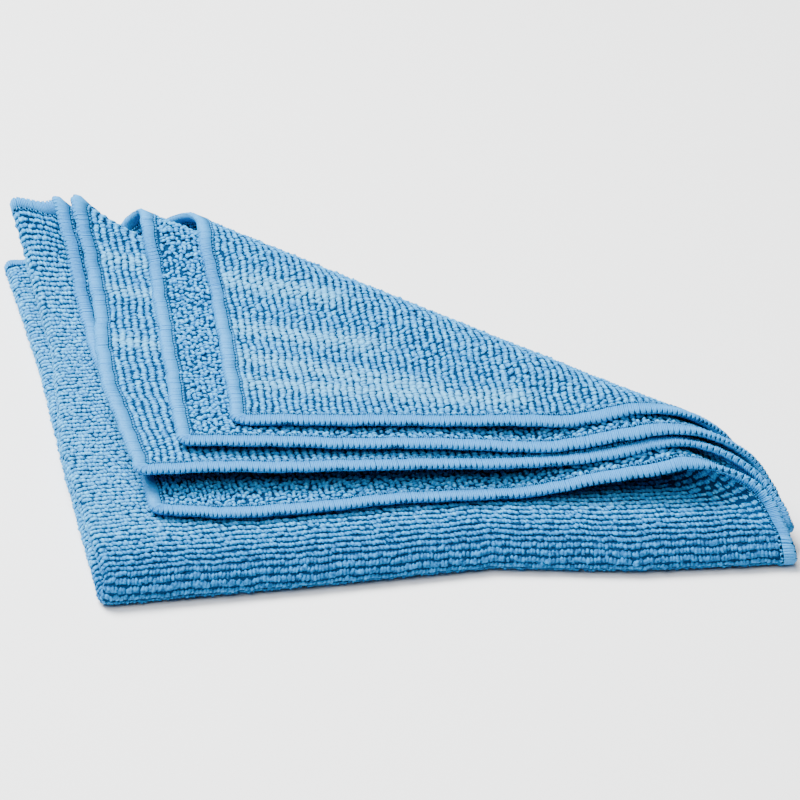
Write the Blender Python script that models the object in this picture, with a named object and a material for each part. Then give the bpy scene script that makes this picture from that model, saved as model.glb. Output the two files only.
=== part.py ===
"""Microfibre cleaning cloth, folded in quarters with its four free corners turned back.

The cloth is one square of looped microfibre with an overlocked hem. It is modelled flat,
with the fold lines cut into the mesh, and every point is then carried to its folded place:
two folds in half make a stack of four layers, and a third, loose fold on the diagonal
brings the four free corners over to lie fanned out near the closed corner.

Flat coordinates u, v run from -QUARTER to QUARTER with the two half folds near zero.
The stack lies with its closed corner at the front left, one folded edge along the front
(s runs along it) and the other up the left side (t runs along it). Layers are counted
from the table up. All sizes are in millimetres and the mesh is made in metres.
"""

import math

import bmesh
import bpy
import numpy as np

MM = 0.001

# The cloth as it is cut
QUARTER = 200.0           # half the side of the square cloth
THICK = 1.8               # sheet with its loops pressed down
CORNER_ROUND = 7.0        # radius of the overlocked corners

# The stack of four layers
PITCH = 3.0               # from one layer to the next
SKEW = 6.8                # degrees that the left side leans out of square
LEFT_CREASE = 3.0         # the first fold misses the middle, so the inner pair stands out
FRONT_CREASE = 3.2        # the second fold misses the middle by this much

# Where the folded edges wander: place along the edge, and how far it moves inwards
STATIONS = (0.0, 70.0, 130.0, 200.0)
FRONT_STATIONS = (0.0, 60.0, 110.0, 150.0, 200.0)
FRONT_EDGE = (-4.4, -0.2, 4.4, -1.4, -2.0)
FRONT_EDGE_INNER = (-4.4, 4.0, 9.0, 6.5, 6.0)    # the inner pair's fold lies back
LEFT_EDGE_LOWER = (-2.2, -0.7, 1.5, 1.0)
LEFT_EDGE_UPPER = (-0.1, -1.4, 5.4, 5.9)
FRONT_EDGE_REACH = 100.0  # the wandering dies out this far in from the edge
INNER_EDGE_REACH = 50.0   # and how far in the inner pair's own wandering goes

# The outer pair comes down to its second fold in a full round nose
NOSE_DROP = (0.2, 0.4, 0.45, 0.45, 0.4)    # share of its height that it loses at the edge
NOSE_REACH = 24.0         # from this far in

# The upper pair of layers, with its flaps, rises at the far end of the left side
RAISED_END = 22.5         # how high at the very end
RAISED_FROM = 125.0       # from here along the left side
RAISED_WIDTH = 58.0       # dying out this far in from it
RAISED_DRIFT = -3.1       # and how far it leans out to the left there
RAISED_PAST = 1.1         # the rise goes on past the end by this share of its length

# The diagonal fold, one row for each layer from the top of the stack down:
#   front    place along the front edge where the fold line meets it
#   side     place along the left side, or along its line beyond the cloth, where it does
#   near     radius of the loop at the front end of the fold
#   far      radius of the loop at the far end of the fold
#   slide    how far the turned-back flap slips along the fold
#   level    height at which the flap comes to lie
DIAGONAL = (
    dict(front=194.4, side=206.0, near=6.9, far=5.5, slide=6.0, level=13.8),
    dict(front=195.4, side=208.7, near=9.7, far=8.7, slide=13.0, level=21.0),
    dict(front=196.2, side=215.5, near=12.5, far=14.4, slide=1.5, level=24.6),
    dict(front=196.4, side=216.4, near=15.4, far=18.3, slide=-10.5, level=28.0),
)
FOLD_HALF = 130.0         # distance along the fold to which near and far refer
FOLD_END = 1.15           # near and far go on changing up to this share of that distance
SLIDE_FROM = 0.9          # a flap starts to slip when it has turned by this angle
SETTLE_RADIUS = 52.0      # radius on which a flap levels out after its loop
LEAST_DROP = 0.01         # a flap comes down by at least this after its loop
SHARED_RADIUS = 11.1      # by the front edge all the layers turn together on this radius
SHARED_REACH = 24.0       # which gives way to their own this far in from the edge
MIDDLE_SQUASH = 0.03       # the loops are pressed this much flatter half way along the fold

# Waves in the free hems of the turned-back flaps: the layer, which hem, the place along
# it from the free corner, half the width of the wave, how far it pushes out in the sheet
# and how far it lifts
HEM_WAVES = (
    dict(layer=1, hem="right", place=104.0, half=22.0, out=0.0, lift=-1.8),
    dict(layer=1, hem="left", place=98.0, half=40.0, out=1.0, lift=0.0),
    dict(layer=2, hem="right", place=104.0, half=30.0, out=0.0, lift=-1.4),
    dict(layer=2, hem="right", place=12.0, half=46.0, out=0.0, lift=1.1),
    dict(layer=3, hem="right", place=106.0, half=34.0, out=0.0, lift=-0.6),
    dict(layer=3, hem="right", place=18.0, half=34.0, out=0.0, lift=0.8),
    dict(layer=3, hem="left", place=62.0, half=58.0, out=3.2, lift=0.0),
    dict(layer=4, hem="right", place=32.0, half=56.0, out=5.5, lift=0.0),
    dict(layer=4, hem="right", place=132.0, half=28.0, out=0.0, lift=2.0),
    dict(layer=4, hem="right", place=168.0, half=16.0, out=0.0, lift=-1.8),
    dict(layer=4, hem="left", place=0.0, half=120.0, out=-6.0, lift=0.0),
    dict(layer=4, hem="left", place=173.0, half=20.0, out=0.0, lift=-2.2),
    dict(layer=3, hem="left", place=161.0, half=18.0, out=0.0, lift=-2.0),
    dict(layer=3, hem="right", place=200.0, half=40.0, out=-4.0, lift=0.0),
    dict(layer=2, hem="right", place=200.0, half=40.0, out=-4.0, lift=0.0),
)
WAVE_REACH = 34.0         # a wave dies out this far in from the hem

# The stack rests on its three corners, where the bottom layer sags on to the table
RESTS = ((4.0, 4.0), (186.0, 7.0), (-16.0, 192.0))
REST_SAG = 0.4            # how far it sags there
REST_REACH = 26.0         # and how far from the corner this dies out
CLEARANCE = 0.39          # the flat of the bottom layer is this high above the table

# How finely the flat cloth is divided
COARSE_STEP = 22.0        # flat areas
LEFT_BEND_CUTS = 6        # across the tight first fold
FRONT_BEND_CUTS = 8       # across the second fold
BEND_SHOULDERS = (3.5,)   # more lines this far outside the first fold
NOSE_SHOULDERS = (3.0, 7.0, 12.0, 18.0)      # and outside the second
NORMAL_STEP = 0.02        # step in u and v from which the sheet's normal is found
END_CUTS = 6              # across each of these folds at its open ends
END_STEP = 2.4            # one such cut to the next
LOOP_CUTS = 12            # around each loop of the diagonal fold
SETTLE_CUTS = 3           # where a flap levels out
SNAP = 0.7                # a cut closer than this to a corner of the mesh goes through it

# The part's origin, from the closed corner of the stack
ORIGIN = (86.79, 98.23)

LEFT_HALF_BEND = math.pi * PITCH / 4
FRONT_HALF_BEND = math.pi * PITCH / 2

CLOTH_BLUE = (0.115, 0.335, 0.640, 1.0)
CLOTH_ROUGHNESS = 0.95


def smooth(x):
    """Ease from 0 to 1 as x goes from 0 to 1."""
    x = np.clip(x, 0.0, 1.0)
    return x * x * (3.0 - 2.0 * x)


def fold_line(row):
    """A layer's diagonal fold line: its distance from the closed corner and its angle."""
    lean = math.radians(SKEW)
    run_x = row["front"] + row["side"] * math.sin(lean)
    run_y = row["side"] * math.cos(lean)
    angle = math.atan2(run_x, run_y)
    return row["front"] * math.cos(angle), angle


LINES = [fold_line(row) for row in DIAGONAL]


def by_layer(depth, values):
    """The value at a depth in the stack, read between the layers at the folded edges."""
    return np.interp(depth, range(4), values)


def column(name):
    """One column of the diagonal fold's table."""
    return [row[name] for row in DIAGONAL]


def layer_signs(layer):
    """The signs of u and v on a layer, counted from the table up."""
    return {4: (1, 1), 3: (-1, 1), 2: (-1, -1), 1: (1, -1)}[layer]


def wave_weights(u, v):
    """Each hem wave's weight at the flat points u, v."""
    for wave in HEM_WAVES:
        sign_u, sign_v = layer_signs(wave["layer"])
        from_right = QUARTER - u * sign_u
        from_left = QUARTER - v * sign_v
        if wave["hem"] == "right":
            inward, along = from_right, from_left
        else:
            inward, along = from_left, from_right
        swell = np.clip((along - wave["place"]) / wave["half"], -1.0, 1.0)
        own_layer = (u * sign_u > 0) & (v * sign_v > 0)
        weight = np.cos(swell * math.pi / 2) ** 2 * smooth(1.0 - inward / WAVE_REACH)
        yield wave, sign_u, sign_v, weight * own_layer


def fold_in_quarters(u, v):
    """The two half folds: place s, t and height z in the stack, the depth in layers from
    its top, the distance from the second fold, and 1 on the upper pair."""
    bend = PITCH / 2
    turn = np.clip((u - LEFT_CREASE) / bend, -math.pi / 2, math.pi / 2)
    reach = np.abs(u - LEFT_CREASE)
    s = np.where(reach < LEFT_HALF_BEND, bend * (1 - np.cos(turn)),
                 reach - LEFT_HALF_BEND + bend)
    outside = bend * np.sin(turn)

    turn = np.clip((v - FRONT_CREASE) / PITCH, -math.pi / 2, math.pi / 2)
    reach = np.abs(v - FRONT_CREASE)
    radius = PITCH + outside
    t = np.where(reach < FRONT_HALF_BEND, 1.5 * PITCH - radius * np.cos(turn),
                 reach - FRONT_HALF_BEND + 1.5 * PITCH)
    z = 2 * PITCH + radius * np.sin(turn)

    depth = (3.5 * PITCH - z) / PITCH
    from_fold = t
    upper = smooth(0.5 + turn / math.pi)
    lower_edge = np.interp(t, STATIONS, LEFT_EDGE_LOWER)
    upper_edge = np.interp(t, STATIONS, LEFT_EDGE_UPPER)
    wander = lower_edge * (1 - upper) + upper_edge * upper
    s = s + wander * np.clip(1 - s / QUARTER, 0, 1)
    edge = np.interp(s, FRONT_STATIONS, FRONT_EDGE)
    inner_edge = np.interp(s, FRONT_STATIONS, FRONT_EDGE_INNER)
    inner = (inner_edge - edge) * (0.5 - outside / PITCH)
    t = t + edge * np.clip(1 - t / FRONT_EDGE_REACH, 0, 1)
    t = t + inner * np.clip(1 - t / INNER_EDGE_REACH, 0, 1)
    nose = np.interp(s, FRONT_STATIONS, NOSE_DROP)
    nose = nose * np.clip(1 - (t - edge) / NOSE_REACH, 0, 1) ** 3
    z = z - (z - PITCH / 2) * nose
    return s, t, z, depth, from_fold, upper


def fold_on_diagonal(s, t, z, depth, from_fold, upper):
    """The third fold, on the diagonal, which is looser for each layer further out."""
    lean = math.radians(SKEW)
    x = s - t * math.sin(lean)
    y = t * math.cos(lean)
    start = by_layer(depth, [line[0] for line in LINES])
    angle = by_layer(depth, [line[1] for line in LINES])
    across = x * np.cos(angle) + y * np.sin(angle)
    along = y * np.cos(angle) - x * np.sin(angle)
    farness = 0.5 + 0.5 * np.clip(along / FOLD_HALF, -FOLD_END, FOLD_END)
    near = by_layer(depth, column("near"))
    far = by_layer(depth, column("far"))
    radius = near + (far - near) * farness

    run = across - start
    squash = 1 - MIDDLE_SQUASH * (1 - np.clip(along / FOLD_HALF, -1, 1) ** 2)
    top = z + 2 * radius * squash
    drop = np.maximum(top - by_layer(depth, column("level")), LEAST_DROP)
    dive = np.arccos(np.clip(1 - drop / (radius + SETTLE_RADIUS), -1, 1))
    loop_length = radius * (math.pi + dive)
    shared = smooth(1 - from_fold / SHARED_REACH)
    turning_radius = radius + (SHARED_RADIUS - radius) * shared
    turned = np.clip(run / turning_radius, 0, math.pi + dive)
    settled = np.clip((run - loop_length) / SETTLE_RADIUS, 0, dive)
    beyond = np.maximum(run - loop_length - SETTLE_RADIUS * dive, 0)

    back = SETTLE_RADIUS * (np.sin(dive) - np.sin(dive - settled)) + beyond
    folded = start + radius * np.sin(turned) - back
    across = np.where(run <= 0, across, folded)
    height = radius * squash * (1 - np.cos(turned))
    height = height - SETTLE_RADIUS * (np.cos(dive - settled) - np.cos(dive))
    z = z + np.where(run <= 0, 0, height)
    slid = smooth((turned - SLIDE_FROM) / (math.pi - SLIDE_FROM))
    along = along + by_layer(depth, column("slide")) * slid

    x = across * np.cos(angle) - along * np.sin(angle)
    y = across * np.sin(angle) + along * np.cos(angle)
    up_side = y / math.cos(lean)
    climb = (up_side - RAISED_FROM) / (QUARTER - RAISED_FROM)
    inward = (x + up_side * math.sin(lean)) / RAISED_WIDTH
    raised = upper * np.clip(climb, 0, RAISED_PAST) ** 2 * smooth(1 - inward)
    return x + RAISED_DRIFT * raised, y, z + RAISED_END * raised


def sag(x, y, z):
    """How far the bottom layer sags on to the table at the stack's three corners."""
    near = sum(np.clip(1 - np.hypot(x - a, y - b) / REST_REACH, 0, 1) for a, b in RESTS)
    return REST_SAG * near * np.clip(1.5 - z / PITCH, 0, 1)


def round_corner(u, v):
    """Draw the square outline's corners in to a round."""
    inner = QUARTER - CORNER_ROUND
    a = np.maximum(np.abs(u) - inner, 0)
    b = np.maximum(np.abs(v) - inner, 0)
    reach = np.hypot(a, b)
    scale = np.where(reach > 0, np.maximum(a, b) / np.maximum(reach, 1e-9), 1.0)
    in_corner = (a > 0) & (b > 0)
    u = np.where(in_corner, np.sign(u) * (inner + a * scale), u)
    v = np.where(in_corner, np.sign(v) * (inner + b * scale), v)
    return u, v


def drape(u, v):
    """The folded place of the flat points u, v on the middle of the sheet."""
    push_u = np.zeros_like(u)
    push_v = np.zeros_like(v)
    lift = np.zeros_like(u)
    for wave, sign_u, sign_v, weight in wave_weights(u, v):
        if wave["hem"] == "right":
            push_u += sign_u * wave["out"] * weight
        else:
            push_v += sign_v * wave["out"] * weight
        lift += wave["lift"] * weight
    x, y, z = fold_on_diagonal(*fold_in_quarters(u + push_u, v + push_v))
    z = z + lift
    return np.stack([x, y, z - sag(x, y, z)], axis=-1)


def drape_with_normal(u, v):
    """The folded points, and the sheet's unit normal there from small steps in u and v."""
    step = NORMAL_STEP
    along_u = drape(u + step, v) - drape(u - step, v)
    along_v = drape(u, v + step) - drape(u, v - step)
    normal = np.cross(along_u, along_v)
    normal /= np.linalg.norm(normal, axis=-1, keepdims=True)
    return drape(u, v), normal


def grid_lines(crease, half_bend, cuts, shoulders):
    """Places of the flat cloth's grid lines in one direction."""
    bend = np.linspace(crease - half_bend, crease + half_bend, cuts + 1)
    below_steps = round((bend[0] + QUARTER) / COARSE_STEP)
    above_steps = round((QUARTER - bend[-1]) / COARSE_STEP)
    below = np.linspace(-QUARTER, bend[0], below_steps + 1)[:-1]
    above = np.linspace(bend[-1], QUARTER, above_steps + 1)[1:]
    corner = QUARTER - CORNER_ROUND
    beside = [bend[0] - away for away in shoulders] + [bend[-1] + away for away in shoulders]
    lines = np.concatenate([below, bend, above, beside, [-corner, corner]])
    return np.sort(lines)


def flat_sheet():
    """The flat cloth as a grid, finer across the two half folds."""
    us = grid_lines(LEFT_CREASE, LEFT_HALF_BEND, LEFT_BEND_CUTS, BEND_SHOULDERS)
    vs = grid_lines(FRONT_CREASE, FRONT_HALF_BEND, FRONT_BEND_CUTS, NOSE_SHOULDERS)
    mesh = bmesh.new()
    rows = [[mesh.verts.new((u, v, 0.0)) for u in us] for v in vs]
    for row, above in zip(rows, rows[1:]):
        for i in range(len(us) - 1):
            mesh.faces.new((row[i], row[i + 1], above[i + 1], above[i]))
    return mesh


def on_layer(face, sign_u, sign_v):
    """Whether a face of the flat mesh is on this layer and outside the two half folds."""
    middle = face.calc_center_median()
    beyond_left = (middle.x - LEFT_CREASE) * sign_u > LEFT_HALF_BEND
    return beyond_left and (middle.y - FRONT_CREASE) * sign_v > FRONT_HALF_BEND


def cut(mesh, faces, point, normal):
    """Cut some of the mesh's faces along a line."""
    parts = set(faces)
    for face in faces:
        parts.update(face.edges)
        parts.update(face.verts)
    bmesh.ops.bisect_plane(mesh, geom=list(parts), dist=SNAP, plane_co=point, plane_no=normal)


def cut_fold_ends(mesh):
    """Cut the two half folds across near their open ends, where the loops begin."""
    for k in range(1, END_CUTS + 1):
        place = QUARTER - k * END_STEP
        for sign in (-1, 1):
            left = [f for f in mesh.faces
                    if abs(f.calc_center_median().x - LEFT_CREASE) < LEFT_HALF_BEND]
            cut(mesh, left, (0, sign * place, 0), (0, 1, 0))
            front = [f for f in mesh.faces
                     if abs(f.calc_center_median().y - FRONT_CREASE) < FRONT_HALF_BEND]
            cut(mesh, front, (sign * place, 0, 0), (1, 0, 0))


def bend_distances(depth, row, radius):
    """How far beyond the fold line a layer's loop bends, where it has this radius."""
    drop = (3.5 - depth) * PITCH + 2 * radius - row["level"]
    dive = math.acos(1 - drop / (radius + SETTLE_RADIUS))
    loop = radius * np.linspace(0, math.pi + dive, LOOP_CUTS + 1)
    settle = SETTLE_RADIUS * np.linspace(0, dive, SETTLE_CUTS + 1)[1:]
    return np.concatenate([loop, loop[-1] + settle])


def cut_loops(mesh):
    """Cut each layer along the straight lines on which its diagonal loop bends."""
    lean = math.radians(SKEW)
    for depth, row in enumerate(DIAGONAL):
        sign_u, sign_v = layer_signs(4 - depth)
        start, angle = LINES[depth]
        # across and along the fold as sums of s and t
        across = np.array([math.cos(angle), math.sin(angle - lean)])
        along = np.array([-math.sin(angle), math.cos(angle - lean)])
        s_gap = PITCH / 2 * (1 - math.pi / 2) - LEFT_CREASE * sign_u
        t_gap = PITCH * (1.5 - math.pi / 2) - FRONT_CREASE * sign_v
        near = bend_distances(depth, row, row["near"])
        far = bend_distances(depth, row, row["far"])
        for near_bend, far_bend in zip(near, far):
            widening = (far_bend - near_bend) / 2 / FOLD_HALF
            normal = across - widening * along
            distance = start + (near_bend + far_bend) / 2
            point = normal * distance / normal.dot(normal)
            flat_point = (sign_u * (point[0] - s_gap), sign_v * (point[1] - t_gap), 0.0)
            flat_normal = (sign_u * normal[0], sign_v * normal[1], 0.0)
            faces = [f for f in mesh.faces if on_layer(f, sign_u, sign_v)]
            cut(mesh, faces, flat_point, flat_normal)


def fold_and_thicken(flat):
    """Carry the flat mesh to its folded place and give it its thickness."""
    bmesh.ops.triangulate(flat, faces=flat.faces[:])
    flat.verts.ensure_lookup_table()
    flat.verts.index_update()
    u = np.array([vert.co.x for vert in flat.verts])
    v = np.array([vert.co.y for vert in flat.verts])
    middle, normal = drape_with_normal(*round_corner(u, v))
    bottom = (PITCH - THICK) / 2 - CLEARANCE
    middle = middle - np.array([ORIGIN[0], ORIGIN[1], bottom])

    solid = bmesh.new()
    front = [solid.verts.new(p * MM) for p in middle + normal * THICK / 2]
    back = [solid.verts.new(p * MM) for p in middle - normal * THICK / 2]
    for face in flat.faces:
        corners = [vert.index for vert in face.verts]
        solid.faces.new([front[i] for i in corners])
        solid.faces.new([back[i] for i in reversed(corners)])
    for edge in flat.edges:
        if len(edge.link_loops) == 1:
            start = edge.link_loops[0].vert.index
            end = edge.link_loops[0].link_loop_next.vert.index
            solid.faces.new((front[end], front[start], back[start]))
            solid.faces.new((front[end], back[start], back[end]))
    flat.free()
    return solid


def cloth_material():
    """Blue looped microfibre."""
    material = bpy.data.materials.new("microfibre_blue")
    material.use_nodes = True
    shader = material.node_tree.nodes["Principled BSDF"]
    shader.inputs["Base Color"].default_value = CLOTH_BLUE
    shader.inputs["Roughness"].default_value = CLOTH_ROUGHNESS
    shader.inputs["Metallic"].default_value = 0.0
    return material


def make_cloth():
    """The folded cloth as one closed solid."""
    flat = flat_sheet()
    cut_fold_ends(flat)
    cut_loops(flat)
    solid = fold_and_thicken(flat)
    mesh = bpy.data.meshes.new("microfibre_cloth")
    solid.to_mesh(mesh)
    solid.free()
    mesh.materials.append(cloth_material())
    mesh.shade_smooth()
    cloth = bpy.data.objects.new("microfibre_cloth", mesh)
    bpy.context.scene.collection.objects.link(cloth)
    return cloth


for old in list(bpy.data.objects):
    bpy.data.objects.remove(old, do_unlink=True)

make_cloth()
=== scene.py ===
import math

import bpy
import numpy as np
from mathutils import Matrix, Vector
from mathutils.bvhtree import BVHTree


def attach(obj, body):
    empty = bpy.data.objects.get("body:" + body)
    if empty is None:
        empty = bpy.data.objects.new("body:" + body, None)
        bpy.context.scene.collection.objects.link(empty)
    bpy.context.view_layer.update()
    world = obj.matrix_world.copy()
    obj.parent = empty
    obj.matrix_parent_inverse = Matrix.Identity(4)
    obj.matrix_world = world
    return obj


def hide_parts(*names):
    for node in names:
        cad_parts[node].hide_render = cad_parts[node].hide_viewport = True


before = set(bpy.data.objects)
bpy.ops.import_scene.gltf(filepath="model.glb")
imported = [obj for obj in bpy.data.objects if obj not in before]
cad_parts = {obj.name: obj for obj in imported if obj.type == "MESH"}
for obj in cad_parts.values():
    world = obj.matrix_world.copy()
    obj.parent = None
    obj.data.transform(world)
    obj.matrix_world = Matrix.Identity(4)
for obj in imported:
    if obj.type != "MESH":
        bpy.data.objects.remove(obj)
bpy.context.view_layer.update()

# ---------------------------------------------------------------------------------------
# The ground of the cloth: one square of knitted polyester and polyamide microfibre, which
# carries the pile on both faces. It is cut 40 by 40 cm, folded in half, in half again,
# and its four free corners are turned back on a loose diagonal fold.
# ---------------------------------------------------------------------------------------

MM = 0.001

# Flat u, v run from -QUARTER to QUARTER in millimetres, with the two half folds near
# zero. The ribbed face is on the side of the sheet's normal, and layers are counted
# from the table up.
QUARTER = 200.0           # the side of the folded quarter, half of the cloth's
CORNER_ROUND = 4.0        # the overlocker rounds the corners
GROUND_THICK = 0.7        # the knitted ground without its pile

PITCH = 3.0               # from one layer of the stack to the next
SOLID_THICK = 1.8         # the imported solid's sheet, which holds the pile too
SKEW = 6.8                # degrees that the left side leans out of square
LEFT_CREASE = 3.0         # the first fold misses the middle, so the inner pair stands out
FRONT_CREASE = 3.2        # and so does the second
LEFT_HALF_BEND = math.pi * PITCH / 4     # half the sheet's length in the first bend
FRONT_HALF_BEND = math.pi * PITCH / 2    # and on the sheet's middle in the second

# Where the folded edges wander: place along the edge, and how far it moves inwards
STATIONS = (0.0, 70.0, 130.0, 200.0)
FRONT_STATIONS = (0.0, 60.0, 110.0, 150.0, 200.0)
FRONT_EDGE = (-4.4, -0.2, 4.4, -1.4, -2.0)
FRONT_EDGE_INNER = (-4.4, 4.0, 9.0, 6.5, 6.0)
LEFT_EDGE_LOWER = (-2.2, -0.7, 1.5, 1.0)
LEFT_EDGE_UPPER = (-0.1, -1.4, 5.4, 5.9)
FRONT_EDGE_REACH = 100.0  # the front edge's wander dies out this far in
INNER_EDGE_REACH = 50.0   # and what the inner pair adds to it, this far

# The outer pair comes down to its second fold in a full round nose: the share of its
# height that it loses there, along the edge, and how far in the nose begins
NOSE_DROP = (0.2, 0.4, 0.45, 0.45, 0.4)
NOSE_REACH = 24.0

# The upper pair of layers rises at the far end of the left side, and leans out
RAISED_END = 22.5         # how high
RAISED_FROM = 125.0       # from this place along the side
RAISED_WIDTH = 58.0       # it dies out this far in from the side
RAISED_DRIFT = -3.1       # how far it leans out
RAISED_PAST = 1.1         # it goes on rising to this share of the way to the end

# The diagonal fold, from the top layer down: where its line meets the front edge and the
# left side, the loop's radius at its near and far ends, how far the flap slips along the
# fold and the height at which it comes to lie
DIAGONAL = (
    dict(front=194.4, side=206.0, near=6.9, far=5.5, slide=6.0, level=13.8),
    dict(front=195.4, side=208.7, near=9.7, far=8.7, slide=13.0, level=21.0),
    dict(front=196.2, side=215.5, near=12.5, far=14.4, slide=1.5, level=24.6),
    dict(front=196.4, side=216.4, near=15.4, far=18.3, slide=-10.5, level=28.0),
)
FOLD_HALF = 130.0         # half the length of the fold
FOLD_END = 1.15           # the loops' radii go on changing to this share of it
SLIDE_FROM = 0.9          # radians round its loop from which a flap slips
SETTLE_RADIUS = 52.0      # the soft bend in which a flap comes down to lie
LEAST_DROP = 0.01         # a flap always comes down by this much
SHARED_RADIUS = 11.1      # at the second fold all layers turn in one loop
SHARED_REACH = 24.0       # and they part over this distance from it
MIDDLE_SQUASH = 0.03      # the loops are this share lower halfway along the fold

# Waves in the free hems of the flaps: the layer, which hem, the place along it from the
# free corner, half the wave's width, how far it pushes out and how far it lifts
HEM_WAVES = (
    dict(layer=1, hem="right", place=104.0, half=22.0, out=0.0, lift=-1.8),
    dict(layer=1, hem="left", place=98.0, half=40.0, out=1.0, lift=0.0),
    dict(layer=2, hem="right", place=104.0, half=30.0, out=0.0, lift=-1.4),
    dict(layer=2, hem="right", place=12.0, half=46.0, out=0.0, lift=1.1),
    dict(layer=3, hem="right", place=106.0, half=34.0, out=0.0, lift=-0.6),
    dict(layer=3, hem="right", place=18.0, half=34.0, out=0.0, lift=0.8),
    dict(layer=3, hem="left", place=62.0, half=58.0, out=3.2, lift=0.0),
    dict(layer=4, hem="right", place=32.0, half=56.0, out=5.5, lift=0.0),
    dict(layer=4, hem="right", place=132.0, half=28.0, out=0.0, lift=2.0),
    dict(layer=4, hem="right", place=168.0, half=16.0, out=0.0, lift=-1.8),
    dict(layer=4, hem="left", place=0.0, half=120.0, out=-6.0, lift=0.0),
    dict(layer=4, hem="left", place=173.0, half=20.0, out=0.0, lift=-2.2),
    dict(layer=3, hem="left", place=161.0, half=18.0, out=0.0, lift=-2.0),
    dict(layer=3, hem="right", place=200.0, half=40.0, out=-4.0, lift=0.0),
    dict(layer=2, hem="right", place=200.0, half=40.0, out=-4.0, lift=0.0),
)
WAVE_REACH = 34.0         # the waves die out this far in from the hem

# The three corners on which the bottom layer sags to the table
RESTS = ((4.0, 4.0), (186.0, 7.0), (-16.0, 192.0))
REST_SAG = 0.4            # how far
REST_REACH = 26.0         # over this distance from the corner
CLEARANCE = 0.39          # the rest of the underside lies this high above the table

# The frame's origin, from the closed corner of the stack
ORIGIN = (86.79, 98.23)


def smooth(x):
    """Ease from 0 to 1 as x goes from 0 to 1."""
    x = np.clip(x, 0.0, 1.0)
    return x * x * (3.0 - 2.0 * x)


def fold_line(row):
    """A layer's diagonal fold line: its distance from the closed corner and its angle."""
    lean = math.radians(SKEW)
    run_x = row["front"] + row["side"] * math.sin(lean)
    run_y = row["side"] * math.cos(lean)
    angle = math.atan2(run_x, run_y)
    return row["front"] * math.cos(angle), angle


LINES = [fold_line(row) for row in DIAGONAL]


def by_layer(depth, values):
    """The value at a depth in the stack, read between the layers at the folded edges."""
    return np.interp(depth, range(4), values)


def column(name):
    """One column of the diagonal fold's table."""
    return [row[name] for row in DIAGONAL]


def layer_signs(layer):
    """The signs of u and v on a layer, counted from the table up."""
    return {4: (1, 1), 3: (-1, 1), 2: (-1, -1), 1: (1, -1)}[layer]


def wave_weights(u, v):
    """Each hem wave's weight at the flat points u, v."""
    for wave in HEM_WAVES:
        sign_u, sign_v = layer_signs(wave["layer"])
        from_right = QUARTER - u * sign_u
        from_left = QUARTER - v * sign_v
        if wave["hem"] == "right":
            inward, along = from_right, from_left
        else:
            inward, along = from_left, from_right
        swell = np.clip((along - wave["place"]) / wave["half"], -1.0, 1.0)
        own_layer = (u * sign_u > 0) & (v * sign_v > 0)
        weight = np.cos(swell * math.pi / 2) ** 2 * smooth(1.0 - inward / WAVE_REACH)
        yield wave, sign_u, sign_v, weight * own_layer


def fold_in_quarters(u, v):
    """The two half folds: place s, t and height z in the stack, the depth in layers from
    its top, the distance from the second fold, and 1 on the upper pair."""
    bend = PITCH / 2
    turn = np.clip((u - LEFT_CREASE) / bend, -math.pi / 2, math.pi / 2)
    reach = np.abs(u - LEFT_CREASE)
    s = np.where(reach < LEFT_HALF_BEND, bend * (1 - np.cos(turn)),
                 reach - LEFT_HALF_BEND + bend)
    outside = bend * np.sin(turn)

    turn = np.clip((v - FRONT_CREASE) / PITCH, -math.pi / 2, math.pi / 2)
    reach = np.abs(v - FRONT_CREASE)
    radius = PITCH + outside
    t = np.where(reach < FRONT_HALF_BEND, 1.5 * PITCH - radius * np.cos(turn),
                 reach - FRONT_HALF_BEND + 1.5 * PITCH)
    z = 2 * PITCH + radius * np.sin(turn)

    depth = (3.5 * PITCH - z) / PITCH
    from_fold = t
    upper = smooth(0.5 + turn / math.pi)
    lower_edge = np.interp(t, STATIONS, LEFT_EDGE_LOWER)
    upper_edge = np.interp(t, STATIONS, LEFT_EDGE_UPPER)
    wander = lower_edge * (1 - upper) + upper_edge * upper
    s = s + wander * np.clip(1 - s / QUARTER, 0, 1)
    edge = np.interp(s, FRONT_STATIONS, FRONT_EDGE)
    inner_edge = np.interp(s, FRONT_STATIONS, FRONT_EDGE_INNER)
    inner = (inner_edge - edge) * (0.5 - outside / PITCH)
    t = t + edge * np.clip(1 - t / FRONT_EDGE_REACH, 0, 1)
    t = t + inner * np.clip(1 - t / INNER_EDGE_REACH, 0, 1)
    nose = np.interp(s, FRONT_STATIONS, NOSE_DROP)
    nose = nose * np.clip(1 - (t - edge) / NOSE_REACH, 0, 1) ** 3
    z = z - (z - PITCH / 2) * nose
    return s, t, z, depth, from_fold, upper


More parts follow.
